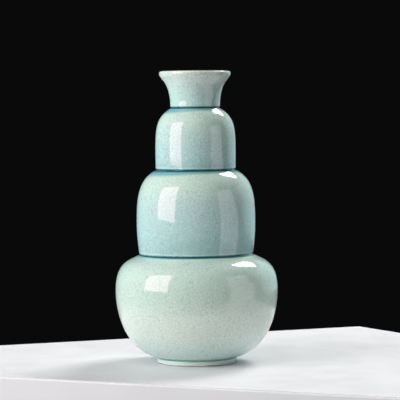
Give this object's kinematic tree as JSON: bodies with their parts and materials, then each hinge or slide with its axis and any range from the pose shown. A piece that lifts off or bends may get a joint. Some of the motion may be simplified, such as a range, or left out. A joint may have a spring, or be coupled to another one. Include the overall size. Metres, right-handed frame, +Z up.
{
  "type": "gourd vase",
  "caption": "Tall gourd vase of stacked rounded tiers: a squat bulb on a foot ring, bell-shaped tiers and a flared neck, in pale celadon crackle glaze. Holds stems and water.",
  "frame": {"origin": "centre of the foot's standing face, on the axis of the vase", "axes": "+Z up along the axis of the vase; X and Y are free, because the vase is round, and the picture's view is along +Y"},
  "size_m": [0.1674, 0.1674, 0.3],
  "materials": {
    "celadon": "glossy pale blue-green glaze with a fine crackle",
    "glaze_line": "glossy, dark where the glaze has pooled",
    "foot_clay": "thin glaze on its side, bare fired clay below",
    "slip": "matt fired slip"
  },
  "bodies": {
    "root": {"foot_ring": "foot_clay", "lower_bulb": "celadon", "middle_tier": "celadon", "upper_tier": "celadon", "flared_neck": "celadon", "foot_slip": "slip", "middle_slip": "slip", "upper_slip": "slip", "neck_slip": "slip", "foot_glaze_line": "glaze_line", "middle_glaze_line": "glaze_line", "upper_glaze_line": "glaze_line", "neck_glaze_line": "glaze_line"}
  },
  "joints": []
}
